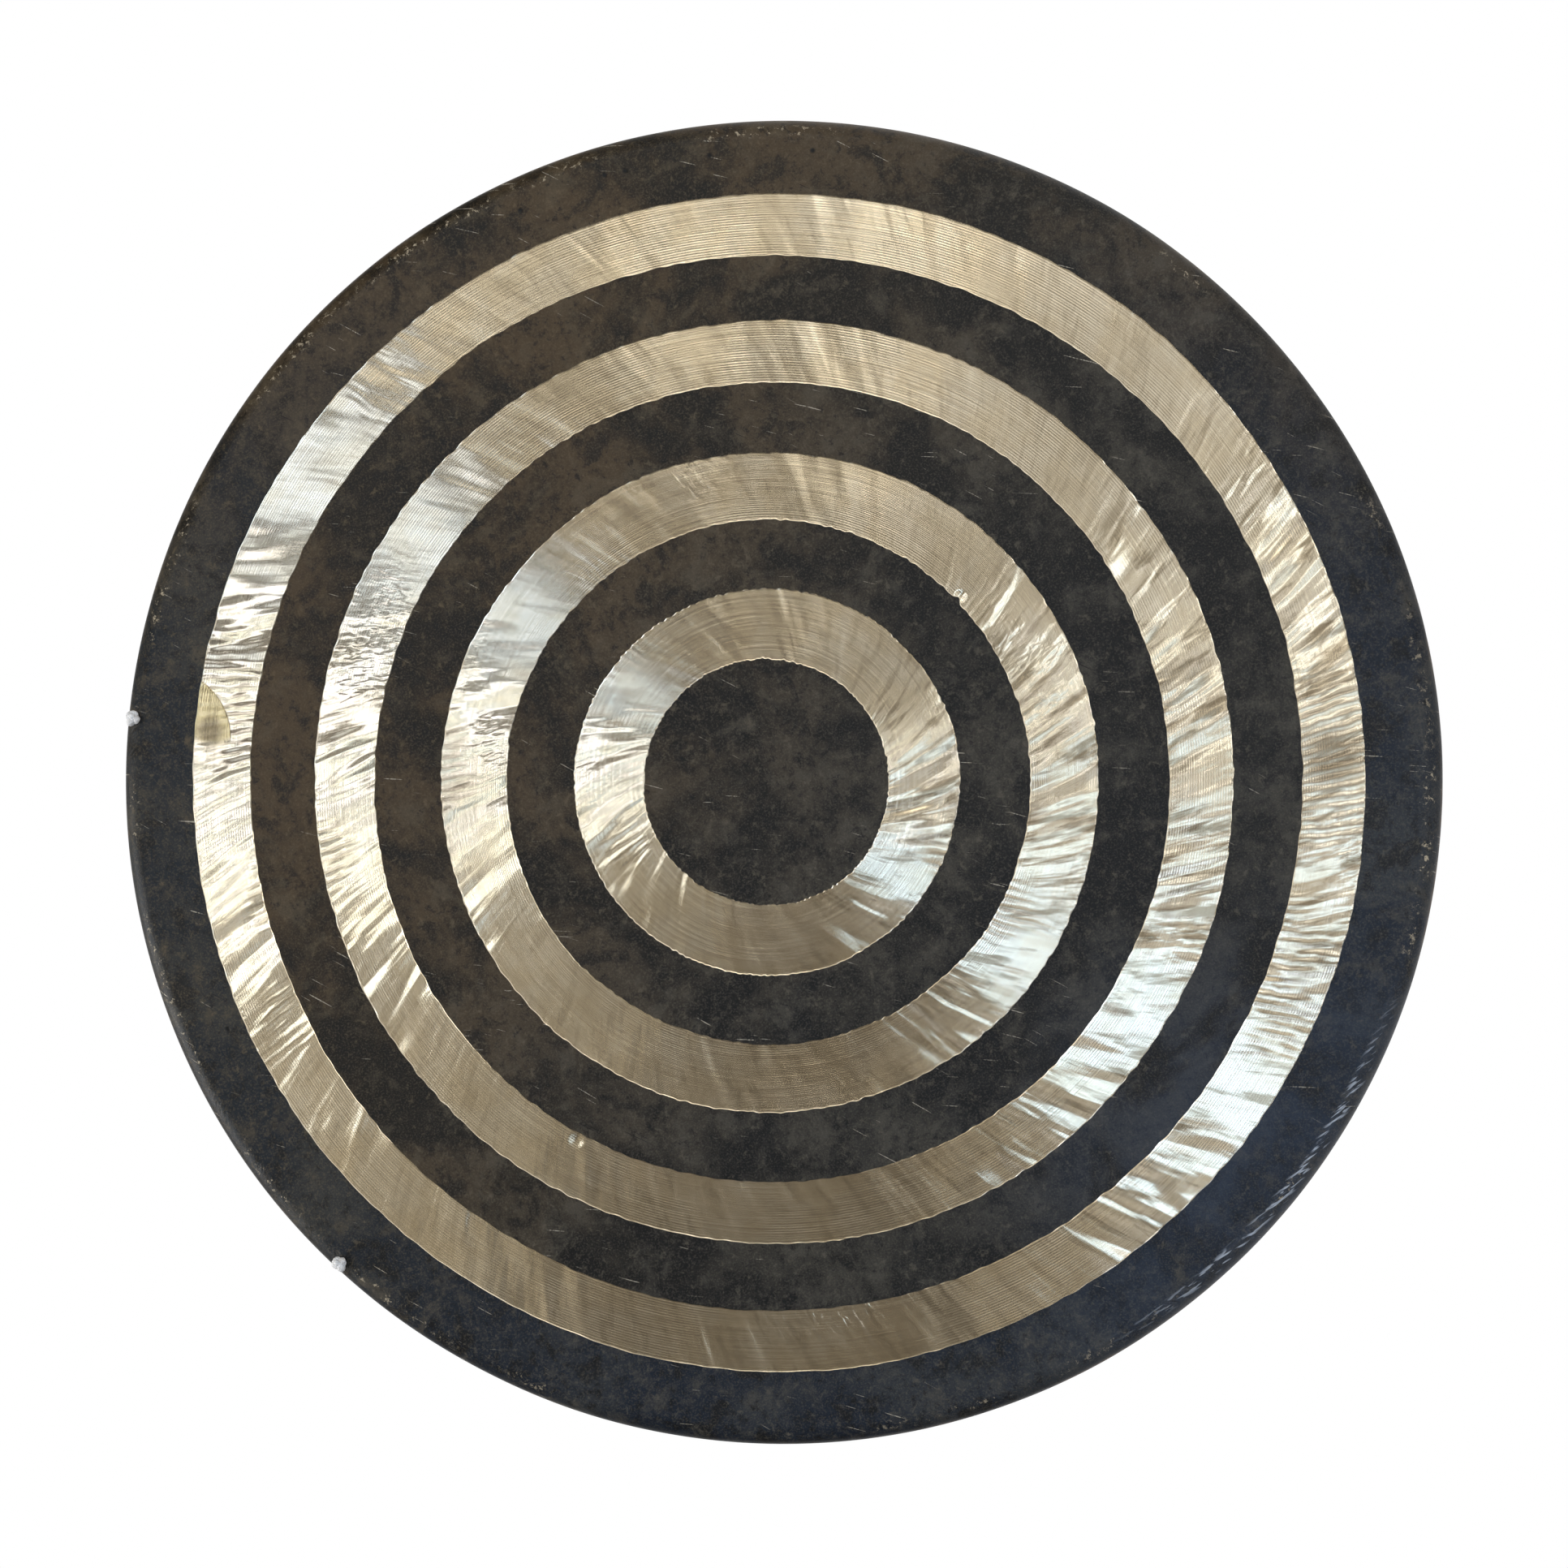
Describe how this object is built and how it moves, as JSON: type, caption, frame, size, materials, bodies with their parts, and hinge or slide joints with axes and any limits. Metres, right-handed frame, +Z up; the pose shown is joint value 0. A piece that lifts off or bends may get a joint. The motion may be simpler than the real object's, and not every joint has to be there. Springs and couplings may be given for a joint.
{
  "type": "chau gong",
  "caption": "Round hammered bronze gong with a flat lathed-and-dark ringed face, a turned-back rim, and a knotted cord strung behind it to hang it by.",
  "frame": {"origin": "the point where the middle of the hanging cord rests on the peg or hook that holds the gong", "axes": "+Z up as the gong hangs, +Y towards the back, through the depth of the rim; the struck face looks along -Y"},
  "size_m": [0.8, 0.0623, 0.8],
  "materials": {
    "gong_bronze": "hammered tin bronze, dark forge skin with four bright lathed rings",
    "cord_white": "braided white nylon cord"
  },
  "bodies": {
    "hanger": {"hanging_cord": "cord_white"},
    "gong": {"gong_plate": "gong_bronze", "knot_right": "cord_white", "knot_left": "cord_white"}
  },
  "joints": [
    {"name": "gong_swing", "type": "hinge", "parent": "hanger", "child": "gong", "pos_m": [0, 0, -0.0325], "axis": [1, 0, 0], "range_deg": [-10, 30]}
  ]
}
